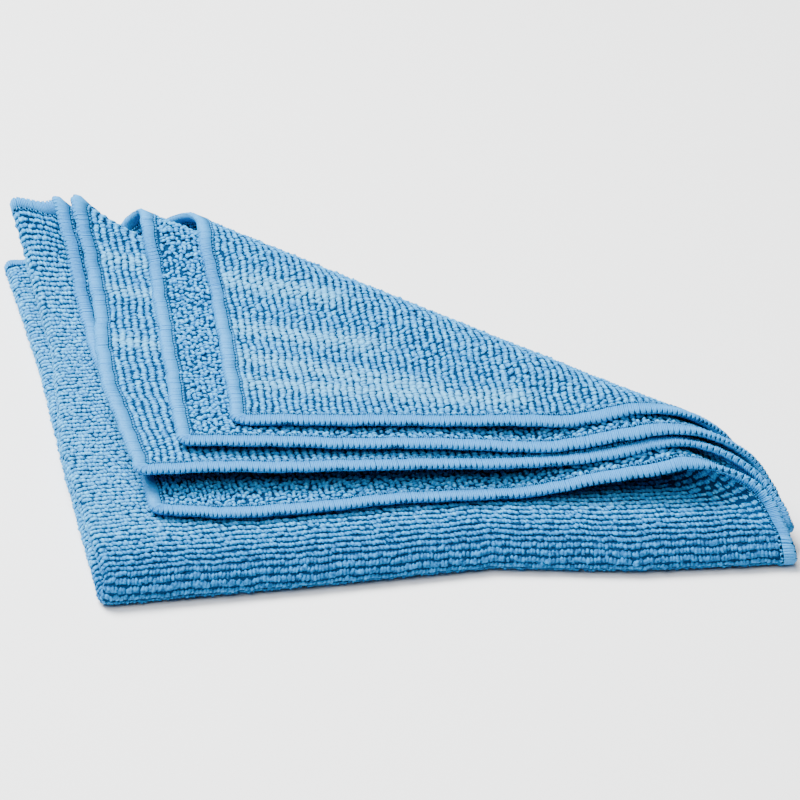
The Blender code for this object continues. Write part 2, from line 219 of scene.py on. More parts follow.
def fold_on_diagonal(s, t, z, depth, from_fold, upper):
    """The third fold, on the diagonal, which is looser for each layer further out."""
    lean = math.radians(SKEW)
    x = s - t * math.sin(lean)
    y = t * math.cos(lean)
    start = by_layer(depth, [line[0] for line in LINES])
    angle = by_layer(depth, [line[1] for line in LINES])
    across = x * np.cos(angle) + y * np.sin(angle)
    along = y * np.cos(angle) - x * np.sin(angle)
    farness = 0.5 + 0.5 * np.clip(along / FOLD_HALF, -FOLD_END, FOLD_END)
    near = by_layer(depth, column("near"))
    far = by_layer(depth, column("far"))
    radius = near + (far - near) * farness

    run = across - start
    squash = 1 - MIDDLE_SQUASH * (1 - np.clip(along / FOLD_HALF, -1, 1) ** 2)
    top = z + 2 * radius * squash
    drop = np.maximum(top - by_layer(depth, column("level")), LEAST_DROP)
    dive = np.arccos(np.clip(1 - drop / (radius + SETTLE_RADIUS), -1, 1))
    loop_length = radius * (math.pi + dive)
    shared = smooth(1 - from_fold / SHARED_REACH)
    turning_radius = radius + (SHARED_RADIUS - radius) * shared
    turned = np.clip(run / turning_radius, 0, math.pi + dive)
    settled = np.clip((run - loop_length) / SETTLE_RADIUS, 0, dive)
    beyond = np.maximum(run - loop_length - SETTLE_RADIUS * dive, 0)

    back = SETTLE_RADIUS * (np.sin(dive) - np.sin(dive - settled)) + beyond
    folded = start + radius * np.sin(turned) - back
    across = np.where(run <= 0, across, folded)
    height = radius * squash * (1 - np.cos(turned))
    height = height - SETTLE_RADIUS * (np.cos(dive - settled) - np.cos(dive))
    z = z + np.where(run <= 0, 0, height)
    slid = smooth((turned - SLIDE_FROM) / (math.pi - SLIDE_FROM))
    along = along + by_layer(depth, column("slide")) * slid

    x = across * np.cos(angle) - along * np.sin(angle)
    y = across * np.sin(angle) + along * np.cos(angle)
    up_side = y / math.cos(lean)
    climb = (up_side - RAISED_FROM) / (QUARTER - RAISED_FROM)
    inward = (x + up_side * math.sin(lean)) / RAISED_WIDTH
    raised = upper * np.clip(climb, 0, RAISED_PAST) ** 2 * smooth(1 - inward)
    return x + RAISED_DRIFT * raised, y, z + RAISED_END * raised


def sag(x, y, z):
    """How far the bottom layer sags on to the table at the stack's three corners."""
    near = sum(np.clip(1 - np.hypot(x - a, y - b) / REST_REACH, 0, 1) for a, b in RESTS)
    return REST_SAG * near * np.clip(1.5 - z / PITCH, 0, 1)


def drape(u, v):
    """The folded place, in millimetres, of flat points on the middle of the sheet."""
    push_u = np.zeros_like(u)
    push_v = np.zeros_like(v)
    lift = np.zeros_like(u)
    for wave, sign_u, sign_v, weight in wave_weights(u, v):
        if wave["hem"] == "right":
            push_u += sign_u * wave["out"] * weight
        else:
            push_v += sign_v * wave["out"] * weight
        lift += wave["lift"] * weight
    x, y, z = fold_on_diagonal(*fold_in_quarters(u + push_u, v + push_v))
    z = z + lift
    z = z - sag(x, y, z) + CLEARANCE - (PITCH - SOLID_THICK) / 2
    return np.stack([x - ORIGIN[0], y - ORIGIN[1], z], axis=-1)


NORMAL_STEP = 0.02        # step in u and v from which the sheet's normal is found


def sheet_normal(u, v):
    """The folded sheet's unit normal, which points out of its ribbed face."""
    step = NORMAL_STEP
    along_u = drape(u + step, v) - drape(u - step, v)
    along_v = drape(u, v + step) - drape(u, v - step)
    normal = np.cross(along_u, along_v)
    return normal / np.linalg.norm(normal, axis=-1, keepdims=True)


# Soft wrinkles in the turned-back flaps: the layer, the two ends as distances of u and v
# from the folds, and half the width
WRINKLES = (
    (1, (142.0, 200.0), (156.0, 158.0), 4.0),
    (1, (160.0, 200.0), (180.0, 142.0), 4.4),
    (1, (177.0, 200.0), (188.0, 118.0), 4.0),
    (1, (117.0, 200.0), (134.0, 165.0), 3.6),
    (3, (66.0, 200.0), (74.0, 180.0), 3.2),
    (3, (83.0, 200.0), (90.0, 180.0), 2.8),
    (3, (115.0, 200.0), (123.0, 180.0), 3.2),
)
WRINKLE_RISE = 0.55       # how far a wrinkle stands up


def wrinkled(u, v):
    """How far flat points lie on a soft wrinkle, from 0 to 1."""
    most = np.zeros_like(u)
    for layer, start, end, half in WRINKLES:
        sign_u, sign_v = layer_signs(layer)
        run = np.subtract(end, start)
        long = np.hypot(*run)
        away_u, away_v = u * sign_u - start[0], v * sign_v - start[1]
        along = (away_u * run[0] + away_v * run[1]) / long
        aside = (away_u * run[1] - away_v * run[0]) / long
        past = np.maximum(along - long, 0) + np.maximum(-along, 0)
        most = np.maximum(most, np.exp(-(aside / half) ** 2 - (past / (2 * half)) ** 2))
    return most


def place(u, v, height):
    """Folded points in metres, at a height above the middle of the sheet."""
    risen = height + WRINKLE_RISE * wrinkled(u, v)
    return (drape(u, v) + sheet_normal(u, v) * risen[..., None]) * MM


def round_corner(u, v):
    """Draw the square outline's corners in to a round."""
    inner = QUARTER - CORNER_ROUND
    a = np.maximum(np.abs(u) - inner, 0)
    b = np.maximum(np.abs(v) - inner, 0)
    reach = np.hypot(a, b)
    scale = np.where(reach > 0, np.maximum(a, b) / np.maximum(reach, 1e-9), 1.0)
    in_corner = (a > 0) & (b > 0)
    u = np.where(in_corner, np.sign(u) * (inner + a * scale), u)
    v = np.where(in_corner, np.sign(v) * (inner + b * scale), v)
    return u, v


def add_mesh(name, points, faces, material):
    """An object from points in metres and lists of corners, shaded smooth."""
    mesh = bpy.data.meshes.new(name)
    mesh.from_pydata(points.tolist(), [], faces)
    mesh.materials.append(material)
    mesh.shade_smooth()
    piece = bpy.data.objects.new(name, mesh)
    bpy.context.scene.collection.objects.link(piece)
    return piece


def linear(colour):
    """An sRGB hex colour as linear red, green, blue and alpha."""
    channels = [int(colour[i:i + 2], 16) / 255 for i in (1, 3, 5)]
    toned = [c / 12.92 if c <= 0.04045 else ((c + 0.055) / 1.055) ** 2.4 for c in channels]
    return (*toned, 1.0)


def add_node(tree, kind, inputs, **settings):
    """Add a node, give it its settings, and fill its inputs with values or links."""
    node = tree.nodes.new(kind)
    for name, value in settings.items():
        setattr(node, name, value)
    for name, value in inputs.items():
        if isinstance(value, bpy.types.NodeSocket):
            tree.links.new(value, node.inputs[name])
        else:
            node.inputs[name].default_value = value
    return node


def new_material(name):
    """A new material's node tree and its Principled shader."""
    material = bpy.data.materials.new(name)
    material.use_nodes = True
    return material, material.node_tree, material.node_tree.nodes["Principled BSDF"]


# The knitted ground's colours are painted shade: dark blue for the little light that reaches it
# between the loops
GROUND_PAINTED_SHADE = linear("#08355E")
GROUND_DEEPER_PAINTED_SHADE = linear("#052340")
GROUND_STITCH = 0.9       # mm between the wales of the knit


def knitted_ground():
    """Weft-knitted microfibre, dyed in the piece and matt. Painted darker than the pile that
    stands on it: painted shade, for the little light that comes down between the loops."""
    material, tree, shader = new_material("knitted_ground_painted_shade")
    place_of = add_node(tree, "ShaderNodeTexCoord", {})
    stitches = add_node(tree, "ShaderNodeTexNoise",
                        {"Vector": place_of.outputs["Object"],
                         "Scale": 1 / (GROUND_STITCH * MM), "Detail": 2.0})
    tone = add_node(tree, "ShaderNodeMix",
                    {"Factor": stitches.outputs["Fac"], "A": GROUND_DEEPER_PAINTED_SHADE, "B": GROUND_PAINTED_SHADE},
                    data_type="RGBA")
    bump = add_node(tree, "ShaderNodeBump",
                    {"Height": stitches.outputs["Fac"], "Strength": 0.6,
                     "Distance": 0.2 * MM})
    tree.links.new(tone.outputs["Result"], shader.inputs["Base Color"])
    tree.links.new(bump.outputs["Normal"], shader.inputs["Normal"])
    shader.inputs["Roughness"].default_value = 0.95
    shader.inputs["Specular IOR Level"].default_value = 0.03
    return material


GROUND_STEP = 4.2         # mm between the mesh's lines on the flat
BEND_STEP = 0.55          # and across the two half folds


def ground_lines(crease, half_bend):
    """Places of the ground's mesh lines in one direction."""
    bend = np.linspace(crease - half_bend, crease + half_bend,
                       round(2 * half_bend / BEND_STEP) + 1)
    below = np.linspace(-QUARTER, bend[0], round((bend[0] + QUARTER) / GROUND_STEP) + 1)
    above = np.linspace(bend[-1], QUARTER, round((QUARTER - bend[-1]) / GROUND_STEP) + 1)
    return np.concatenate([below[:-1], bend, above[1:]])


def make_ground():
    """The folded ground as one closed thin sheet."""
    us = ground_lines(LEFT_CREASE, LEFT_HALF_BEND)
    vs = ground_lines(FRONT_CREASE, FRONT_HALF_BEND)
    u, v = round_corner(*[grid.ravel() for grid in np.meshgrid(us, vs)])
    half = np.full(u.shape, GROUND_THICK / 2)
    points = np.concatenate([place(u, v, half), place(u, v, -half)])

    wide, long, below = len(us), len(vs), len(u)
    faces = []
    for j in range(long - 1):
        for i in range(wide - 1):
            a = j * wide + i
            faces.append((a, a + 1, a + wide + 1, a + wide))
            faces.append((a + below, a + wide + below, a + wide + 1 + below, a + 1 + below))
    rim = list(range(wide))
    rim += [j * wide + wide - 1 for j in range(1, long)]
    rim += [(long - 1) * wide + i for i in range(wide - 2, -1, -1)]
    rim += [j * wide for j in range(long - 2, 0, -1)]
    for a, b in zip(rim, rim[1:] + rim[:1]):
        faces.append((b, a, a + below, b + below))
    return add_mesh("cloth_ground", points, faces, knitted_ground())


ground = make_ground()
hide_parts("microfibre_cloth")
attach(ground, "root")

# ---------------------------------------------------------------------------------------
# The ribbed face: rows of plump terry loops of split microfibre yarn, brushed over so
# that each loop stands as a soft bead across its rib. The ribs run along the front edge.
# ---------------------------------------------------------------------------------------

RIB_PITCH = 2.1           # mm from one rib to the next
BEAD_PITCH = 1.05         # from one bead to the next along a rib
BEAD_LONG = 0.86          # half a bead's size along its rib
BEAD_SHARE = 0.51         # half its size across the rib, as a share of the rib's width
BEAD_HEIGHT = 0.98        # its top above the middle of the sheet
BEAD_FOOT = 0.15          # where it leaves the ground
BEAD_TURN = 0.5           # radians that it stands askew on its rib
LONG_VARIES = 0.14        # how much these sizes and the turn vary from bead to bead
SHARE_VARIES = 0.06
HEIGHT_VARIES = 0.16
TURN_VARIES = 0.2
STRAY_ALONG = 0.24        # how far beads stray from their even places along the rib
STRAY_ACROSS = 0.14       # and across it
HEM_WIDE = 4.2            # the hem covers this much of the cloth's edge
BEAD_CLEAR = 0.3          # and the beads' middles keep this clear of it

# Round the second fold the ribs part and show their roots, and their beads get painted shade
ROLL_SPREAD = 1.15        # they stand this much further apart in the nose
ROLL_AT = 100.0           # u at which the nose's real length is measured
ROLL_TRACE = 0.1          # and the step in v with which it is
ROLL_OPENS = 0.12         # their beads are narrower by this share
ROLL_PAINTED_SHADE = 0.5         # and darker by this share
ROLL_STEADY = 0.5         # and stray less by this share
ROLL_REACH = 17.0         # these three die out over this distance
ROLL_FULL = 0.3           # after they have held in full for this share of it

# The pile is brushed flat on the wrinkles, and a little on the stack behind the fold
STACK_PRESSED = 0.2       # how much on the stack
STACK_FROM = 0.4          # from this share of the nose's reach behind the fold
BRUSHED_BROADER = 0.15    # brushed beads are broader by this share
# the paleness of brushed beads is a painted highlight
BRUSHED_HIGHLIGHT_SHARE = 0.55      # and paler by this share

# A bead's rings of corners: how high, and how wide as a share of its half width
BEAD_SIDES = 5
BEAD_RINGS = ((0.0, 0.82), (0.55, 1.0))


def bead_template():
    """A bead's corners as shares of its half length, half width and height, and its faces."""
    turn = np.arange(BEAD_SIDES) * 2 * math.pi / BEAD_SIDES
    rings = [np.stack([wide * np.cos(turn), wide * np.sin(turn), np.full(BEAD_SIDES, high)], 1)
             for high, wide in BEAD_RINGS]
    corners = np.concatenate(rings + [[[0.0, 0.0, 1.0]]])
    faces = [tuple(range(BEAD_SIDES - 1, -1, -1))]
    top = len(corners) - 1
    last = top - BEAD_SIDES
    for k in range(BEAD_SIDES):
        n = (k + 1) % BEAD_SIDES
        for ring in range(len(BEAD_RINGS) - 1):
            a = ring * BEAD_SIDES
            faces.append((a + k, a + n, a + n + BEAD_SIDES, a + k + BEAD_SIDES))
        faces.append((last + k, last + n, top))
    return corners, faces


def clear_of_hem(u, v):
    """How far flat points lie inside the hem's inner line, negative under the hem."""
    inner = QUARTER - CORNER_ROUND
    a = np.maximum(np.abs(u) - inner, 0)
    b = np.maximum(np.abs(v) - inner, 0)
    edge = np.where((a > 0) & (b > 0), CORNER_ROUND - np.hypot(a, b),
                    QUARTER - np.maximum(np.abs(u), np.abs(v)))
    return edge - HEM_WIDE


# Only pile that can be seen is made. Sight is tried from points above the folded ground,
# along rays in rings round its normal: their tilt in radians, and how many
SIGHT_STEP = 2.5          # mm between the points on the flat cloth
SIGHT_CLEAR = 1.2         # their height above the middle of the sheet
SIGHT_TILTS = ((0.0, 1), (0.7, 5), (1.2, 7))


def in_sight(eye, up, blocker):
    """Whether any of a fan of rays round the direction up leaves a point unblocked."""
    level = up.orthogonal().normalized()
    third = up.cross(level)
    for tilt, rays in SIGHT_TILTS:
        for k in range(rays):
            turn = 2 * math.pi * k / rays
            flat = level * math.cos(turn) + third * math.sin(turn)
            ray = up * math.cos(tilt) + flat * math.sin(tilt)
            if blocker.ray_cast(eye, ray)[0] is None:
                return True
    return False


def seen_cells(side):
    """Which cells of a grid on the flat cloth can be seen from outside on one face, and
    the cells round them."""
    blocker = BVHTree.FromObject(ground, bpy.context.evaluated_depsgraph_get())
    count = round(2 * QUARTER / SIGHT_STEP)
    middles = -QUARTER + SIGHT_STEP * (np.arange(count) + 0.5)
    u, v = [grid.ravel() for grid in np.meshgrid(middles, middles)]
    eyes = place(u, v, np.full(u.shape, side * SIGHT_CLEAR))
    normals = sheet_normal(u, v) * side
    seen = np.array([in_sight(Vector(eye), Vector(normal), blocker)
                     for eye, normal in zip(eyes, normals)]).reshape(count, count)
    wider = seen.copy()
    for dj in (-1, 0, 1):
        for di in (-1, 0, 1):
            wider |= np.roll(seen, (dj, di), (0, 1))
    return wider


def is_seen(cells, u, v):
    """Whether flat points lie in cells that can be seen."""
    i = np.clip(((u + QUARTER) / SIGHT_STEP).astype(int), 0, cells.shape[1] - 1)
    j = np.clip(((v + QUARTER) / SIGHT_STEP).astype(int), 0, cells.shape[0] - 1)
    return cells[j, i]


def opened(v):
    """How far the ribs part round the second fold at flat places v, from 0 to 1."""
    return np.clip(1 + ROLL_FULL - np.abs(v - FRONT_CREASE) / ROLL_REACH, 0, 1)


def brushed_flat_and_highlight(u, v):
    """How far the pile is brushed flat, and given painted highlight, at flat points, from 0 to
    1.
    """
    on_stack = np.clip((QUARTER - np.abs(u) - np.abs(v)) / NOSE_REACH, 0, 1)
    off_roll = np.clip(np.abs(v - FRONT_CREASE) / NOSE_REACH - STACK_FROM, 0, 1)
    return np.maximum(wrinkled(u, v), STACK_PRESSED * on_stack * off_roll)


def pile(name, u, v, size, turn, side, material):
    """Beads at flat points as one mesh. Size is half length, half width and height, and
    side is 1 on the ribbed face and -1 on the plush one."""
    corners, faces = bead_template()
    cos, sin = np.cos(turn)[:, None], np.sin(turn)[:, None]
    a = corners[:, 0] * size[0][:, None]
    b = corners[:, 1] * size[1][:, None]
    lean_u = a * cos - b * sin
    lean_v = a * sin + b * cos
    high = BEAD_FOOT + corners[:, 2] * (size[2][:, None] - BEAD_FOOT)
    points = place(u[:, None] + lean_u, v[:, None] + lean_v, side * high)
    per_bead = len(corners)
    if side < 0:
        faces = [tuple(reversed(face)) for face in faces]
    all_faces = [tuple(c + k * per_bead for c in face)
                 for k in range(len(u)) for face in faces]
    piece = add_mesh(name, points.reshape(-1, 3), all_faces, material)
    # Painted shade: each bead is painted darker towards its foot, and darker round the second
    # fold
    painted_light = (1 - ROLL_PAINTED_SHADE * opened(v))[:, None] * corners[:, 2]
    for attribute, values in (("painted_light", painted_light.ravel()),
                              ("brushed_flat_and_highlight", np.repeat(brushed_flat_and_highlight(u, v), per_bead))):
        stored = piece.data.attributes.new(attribute, "FLOAT", "POINT")
        stored.data.foreach_set("value", values.astype(np.float32))
    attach(piece, "root")
    return piece


# The pile's colours from roots to tips, each at its place on a ramp; the dark roots are painted
# shade
BEAD_PAINTED_SHADE_TONES = ((0.04, linear("#0C4272")), (0.14, linear("#2080C0")), (0.35, linear("#52BCEE")))
# The colour of brushed flat pile: a painted highlight
BRUSHED_HIGHLIGHT_COLOUR = linear("#60B8E4")
LOOP_DRAWN = 1.6          # mm, the size of the loops' uneven tone
FIBRE_DRAWN = 0.7         # mm. Real fibres, of 0.01 mm, are too fine to show


def terry_yarn():
    """Terry loops of split microfibre yarn, piece dyed and brushed: a fuzz of fine fibres that
    scatters light, with hardly a sheen. Painted shade makes each bead deep blue at its root
    and pale at its tip, and a painted highlight makes brushed flat pile paler."""
    material, tree, shader = new_material("terry_yarn_painted_shade_and_highlight")
    place_of = add_node(tree, "ShaderNodeTexCoord", {})
    # Painted shade: the height in the bead, lower round the second fold, sets how pale it is
    # painted
    pale = add_node(tree, "ShaderNodeAttribute", {}, attribute_name="painted_light")
    flat = add_node(tree, "ShaderNodeAttribute", {}, attribute_name="brushed_flat_and_highlight")
    loops = add_node(tree, "ShaderNodeTexNoise",
                     {"Vector": place_of.outputs["Object"],
                      "Scale": 1 / (LOOP_DRAWN * MM), "Detail": 1.0})
    fibres = add_node(tree, "ShaderNodeTexNoise",
                      {"Vector": place_of.outputs["Object"],
                       "Scale": 1 / (FIBRE_DRAWN * MM), "Detail": 3.0})
    lit = add_node(tree, "ShaderNodeMath",
                   {0: pale.outputs["Fac"], 1: loops.outputs["Fac"]}, operation="MULTIPLY")
    flecked = add_node(tree, "ShaderNodeMath",
                       {0: lit.outputs["Value"], 1: fibres.outputs["Fac"]},
                       operation="MULTIPLY")
    ramp = add_node(tree, "ShaderNodeValToRGB", {"Fac": flecked.outputs["Value"]})
    stops = ramp.color_ramp.elements
    stops.new(BEAD_PAINTED_SHADE_TONES[1][0])
    for stop, (position, colour) in zip(stops, BEAD_PAINTED_SHADE_TONES):
        stop.position = position
        stop.color = colour
    # Painted highlight: brushed flat pile is painted paler
    brushed = add_node(tree, "ShaderNodeMath",
                       {0: flat.outputs["Fac"], 1: BRUSHED_HIGHLIGHT_SHARE}, operation="MULTIPLY")
    tone = add_node(tree, "ShaderNodeMix",
                    {"Factor": brushed.outputs["Value"], "A": ramp.outputs["Color"],
                     "B": BRUSHED_HIGHLIGHT_COLOUR}, data_type="RGBA")
    bump = add_node(tree, "ShaderNodeBump",
                    {"Height": fibres.outputs["Fac"], "Strength": 0.8,
                     "Distance": 0.4 * MM})
    tree.links.new(tone.outputs["Result"], shader.inputs["Base Color"])
    tree.links.new(bump.outputs["Normal"], shader.inputs["Normal"])
    shader.inputs["Roughness"].default_value = 0.85
    shader.inputs["Specular IOR Level"].default_value = 0.1
    shader.inputs["Sheen Weight"].default_value = 0.03
    shader.inputs["Sheen Roughness"].default_value = 0.4
    return material


def rib_lines():
    """The ribs' places v and their widths. Round the second fold they are spaced by the
    real length of the roll's outside, so there are more of them in the bend."""
    v = np.arange(-QUARTER, QUARTER, ROLL_TRACE)
    outside = place(np.full(v.shape, ROLL_AT), v, np.full(v.shape, BEAD_HEIGHT))
    real = np.linalg.norm(np.diff(outside, axis=0), axis=1) / MM / ROLL_SPREAD
    in_nose = np.abs(v[:-1] - FRONT_CREASE) < NOSE_REACH
    length = np.cumsum(np.where(in_nose, real, np.diff(v)))
    count = round(length[-1] / RIB_PITCH)
    edges = np.interp(np.linspace(0, length[-1], count + 1), length, v[1:])
    return (edges[1:] + edges[:-1]) / 2, np.diff(edges)


# The ribs wander a little, in waves: length in mm along the rib, turn for each mm across
# the ribs, and how far
RIB_WANDER = ((23.0, 0.09, 0.2), (11.0, -0.23, 0.14), (6.1, 0.61, 0.08))


def rib_wander(u, v):
    """How far the ribs wander sideways at flat points."""
    return sum(far * np.sin(2 * math.pi * u / long + turn * v)
               for long, turn, far in RIB_WANDER)


def on_layer(layer, u, v):
    """Whether flat points lie on a layer, counted from the table up."""
    sign_u, sign_v = layer_signs(layer)
    return ((u - LEFT_CREASE) * sign_u > 0) & ((v - FRONT_CREASE) * sign_v > 0)


def on_flap(u, v):
    """Whether flat points lie beyond the diagonal fold, on a turned-back flap."""
    return np.abs(u) + np.abs(v) > QUARTER


def make_ribs(yarn):
    """The beads of the ribbed face wherever it can be seen, with one mesh for each layer
    of the stack and one for each flap."""
    rng = np.random.default_rng(11)
    seen = seen_cells(1)
    middles, widths = rib_lines()
    rows = len(middles)
    per_row = round(2 * QUARTER / BEAD_PITCH)
    j, i = [grid.ravel() for grid in np.meshgrid(np.arange(rows), np.arange(per_row))]
    count = len(i)
    u = -QUARTER + (i + rng.uniform(0, 1, rows)[j]) * 2 * QUARTER / per_row
    u = u + rng.normal(0, STRAY_ALONG, count) * (1 - ROLL_STEADY * opened(middles[j]))
    narrowed = widths[j] / RIB_PITCH
    strayed = rib_wander(u, middles[j]) + rng.normal(0, STRAY_ACROSS, count)
    v = middles[j] + strayed * narrowed

    keep = (clear_of_hem(u, v) > BEAD_CLEAR) & is_seen(seen, u, v)
    u, v, narrowed, count = u[keep], v[keep], narrowed[keep], keep.sum()
    long = rng.normal(BEAD_LONG, LONG_VARIES, count)
    wide = rng.normal(BEAD_SHARE, SHARE_VARIES, count) * RIB_PITCH * narrowed
    high = rng.normal(BEAD_HEIGHT, HEIGHT_VARIES, count)
    turn = rng.normal(BEAD_TURN, TURN_VARIES, count) * narrowed
    broad = 1 + BRUSHED_BROADER * brushed_flat_and_highlight(u, v)
    size = (long * broad, wide * broad * (1 - ROLL_OPENS * opened(v)), high)

    pieces = []
    for layer in (4, 3, 2, 1):
        own = on_layer(layer, u, v)
        for part, chosen in (("stack", own & ~on_flap(u, v)), ("flap", own & on_flap(u, v))):
            if chosen.any():
                pieces.append(pile(f"ribs_{part}_{layer}", u[chosen], v[chosen],
                                   [s[chosen] for s in size], turn[chosen], 1, yarn))
    return pieces


yarn = terry_yarn()
ribs = make_ribs(yarn)

# ---------------------------------------------------------------------------------------
# The plush face: the same yarn, knitted in looser loops with no rows. It shows on the
# second and fourth flaps and deep between the layers.
# ---------------------------------------------------------------------------------------

LOOP_PITCH = 1.6          # mm between loops
LOOP_STRAY = 0.28         # how far they stray from their even places
LOOP_CLEAR = 0.2          # their middles keep this clear of the hem
LOOP_SIZE = (1.15, 0.74, 1.15)      # half length, half width and height
LOOP_VARIES = (0.2, 0.12, 0.22)     # how much each varies from loop to loop


def make_loops(yarn):
    """The loops of the plush face wherever it can be seen, one mesh for each layer."""
    rng = np.random.default_rng(23)
    seen = seen_cells(-1)
    across = round(2 * QUARTER / LOOP_PITCH)
    step = 2 * QUARTER / across
    j, i = [grid.ravel() for grid in np.meshgrid(np.arange(across), np.arange(across))]
    count = len(i)
    u = -QUARTER + (i + 0.5 + 0.5 * (j % 2)) * step + rng.normal(0, LOOP_STRAY, count)
    v = -QUARTER + (j + 0.5) * step + rng.normal(0, LOOP_STRAY, count)
    keep = (clear_of_hem(u, v) > LOOP_CLEAR) & is_seen(seen, u, v)
    u, v, count = u[keep], v[keep], keep.sum()
    size = [rng.normal(usual, varies, count) for usual, varies in zip(LOOP_SIZE, LOOP_VARIES)]
    turn = rng.uniform(0, math.pi, count)
    pieces = []
    for layer in (4, 3, 2, 1):
        own = on_layer(layer, u, v)
        if own.any():
            pieces.append(pile(f"loops_{layer}", u[own], v[own], [s[own] for s in size],
                               turn[own], -1, yarn))
    return pieces


loops = make_loops(yarn)

# ---------------------------------------------------------------------------------------
# The hem: the cut edge is overlocked all round with blue polyester thread. It lies in
# close bars across the edge, knots along the rim and is sewn down along the inner line.
# ---------------------------------------------------------------------------------------

STITCH = 1.6              # mm from one overlock stitch to the next
THREAD = 0.31             # radius of the thread's bars
KNOT = 0.36               # radius of the knots along the rim
CHAIN = 0.19              # radius of the thread that is sewn down along the inner line
BAR_STRAY = 0.03          # how far bars stray along the hem
BAR_VARIES = 0.07         # and how much their height varies, as a share
FILLING_INSET = 0.12      # the cloth's edge lies this far inside the bars' line
FILLING_SHARE = 0.86      # and at this share of their height


def outline_point(run, inset):
    """Flat points at a run along the rounded outline, some way inside it."""
    straight = 2 * (QUARTER - CORNER_ROUND)
    arc = CORNER_ROUND * math.pi / 2
    side = np.floor(run / (straight + arc))
    rest = run - side * (straight + arc)
    turn = np.clip(rest - straight, 0, arc) / CORNER_ROUND
    inner = QUARTER - CORNER_ROUND
    x = np.minimum(rest, straight) - inner + (CORNER_ROUND - inset) * np.sin(turn)
    y = -inner - (CORNER_ROUND - inset) * np.cos(turn)
    angle = side * math.pi / 2
    return x * np.cos(angle) - y * np.sin(angle), x * np.sin(angle) + y * np.cos(angle)


# The outline's length
OUTLINE = 4 * (2 * (QUARTER - CORNER_ROUND) + CORNER_ROUND * math.pi / 2)

HEM_LIGHT = linear("#349EDA")
HEM_SHADE = linear("#1670B4")
PLY_DRAWN = 0.5           # mm. Real plies, of 0.1 mm, are too fine to show


def overlock_thread():
    """Textured polyester thread, spun dyed and wound close: an even blue, smoother than the
    pile and faintly glossy, so that the hem reads as a paler line round the cloth."""
    material, tree, shader = new_material("overlock_polyester_thread")
    place_of = add_node(tree, "ShaderNodeTexCoord", {})
    plies = add_node(tree, "ShaderNodeTexNoise",
                     {"Vector": place_of.outputs["Object"],
                      "Scale": 1 / (PLY_DRAWN * MM), "Detail": 2.0})
    tone = add_node(tree, "ShaderNodeMix",
                    {"Factor": plies.outputs["Fac"], "A": HEM_SHADE, "B": HEM_LIGHT},
                    data_type="RGBA")
    bump = add_node(tree, "ShaderNodeBump",
                    {"Height": plies.outputs["Fac"], "Strength": 0.4,
                     "Distance": 0.08 * MM})
    tree.links.new(tone.outputs["Result"], shader.inputs["Base Color"])
    tree.links.new(bump.outputs["Normal"], shader.inputs["Normal"])
    shader.inputs["Roughness"].default_value = 0.7
    shader.inputs["Specular IOR Level"].default_value = 0.3
    return material


def covered_edge():
    """The cut edge of the dyed microfibre inside the hem: matt, and painted in the ground's
    darkest painted shade, so that it shows as dark lines between the bars of thread."""
    material, _, shader = new_material("microfibre_edge_painted_shade")
    # Painted shade: the edge between the bars is painted in the ground's deepest shade colour
    shader.inputs["Base Color"].default_value = GROUND_DEEPER_PAINTED_SHADE
    shader.inputs["Roughness"].default_value = 0.95
    shader.inputs["Specular IOR Level"].default_value = 0.03
    return material


def tubes(centres, radius, sides):
    """The corners and faces of closed tubes. Centres holds, for each tube, its points as
    run along the hem, inset from its rim and height."""
    count, length, _ = centres.shape
    ahead = np.gradient(centres, axis=1)
    ahead /= np.linalg.norm(ahead, axis=-1, keepdims=True)
    level = np.zeros_like(centres)
    level[..., 0] = 1.0
    third = np.cross(ahead, level)
    third /= np.linalg.norm(third, axis=-1, keepdims=True)
    level = np.cross(third, ahead)
    turn = np.arange(sides) * 2 * math.pi / sides
    ring = level[:, :, None] * np.cos(turn)[:, None] + third[:, :, None] * np.sin(turn)[:, None]
    points = centres[:, :, None] + ring * radius
    faces = []
    for tube in range(count):
        start = tube * length * sides
        for k in range(length - 1):
            for m in range(sides):
                n = (m + 1) % sides
                a = start + k * sides
                faces.append((a + m, a + n, a + n + sides, a + m + sides))
        faces.append(tuple(start + m for m in reversed(range(sides))))
        faces.append(tuple(start + (length - 1) * sides + m for m in range(sides)))
    return points.reshape(-1, 3), faces


# The hem's rim draws in and out a little: length in mm along the hem, and how far
HEM_WANDER = ((31.0, 0.16), (12.7, 0.12), (7.3, 0.08))


def hem_to_cloth(points):
    """Points of run, inset and height on the hem, folded with the cloth, in metres."""
    drawn_in = sum(far * np.sin(2 * math.pi * points[:, 0] / long) for long, far in HEM_WANDER)
    u, v = outline_point(points[:, 0] % OUTLINE, points[:, 1] + drawn_in)
    return place(u, v, points[:, 2])


# The hem's section, from its inner line over the ribbed face round to the other face:
# inset, height, and how far a stitch's bars spread, which are drawn together at the rim
BAR_PATH = ((3.5, 0.8, 1.0), (0.6, 0.82, 1.0), (0.0, 0.34, 0.66),
            (0.0, -0.34, 0.66), (0.6, -0.82, 1.0), (3.5, -0.8, 1.0))
BARS = (-1 / 3, 0.0, 1 / 3)         # where a stitch's bars lie, as shares of the stitch

# A knot along the rim, and a loop of the chain along the inner line: run as a share of
# the stitch, inset and height
KNOT_PATH = ((-0.18, 0.4, 0.0), (-0.13, -0.3, 0.0), (0.13, -0.3, 0.0), (0.18, 0.4, 0.0))
CHAIN_PATH = ((-0.36, 3.75, 1.0), (-0.26, 4.4, 1.05), (0.26, 4.4, 1.05), (0.36, 3.75, 1.0))


def repeated(path, stitches, step):
    """A path of run, inset and height at every stitch."""
    path = np.array(path) * np.array([step, 1.0, 1.0])
    centres = np.repeat(path[None], stitches, axis=0)
    centres[:, :, 0] += (np.arange(stitches) * step)[:, None]
    return centres


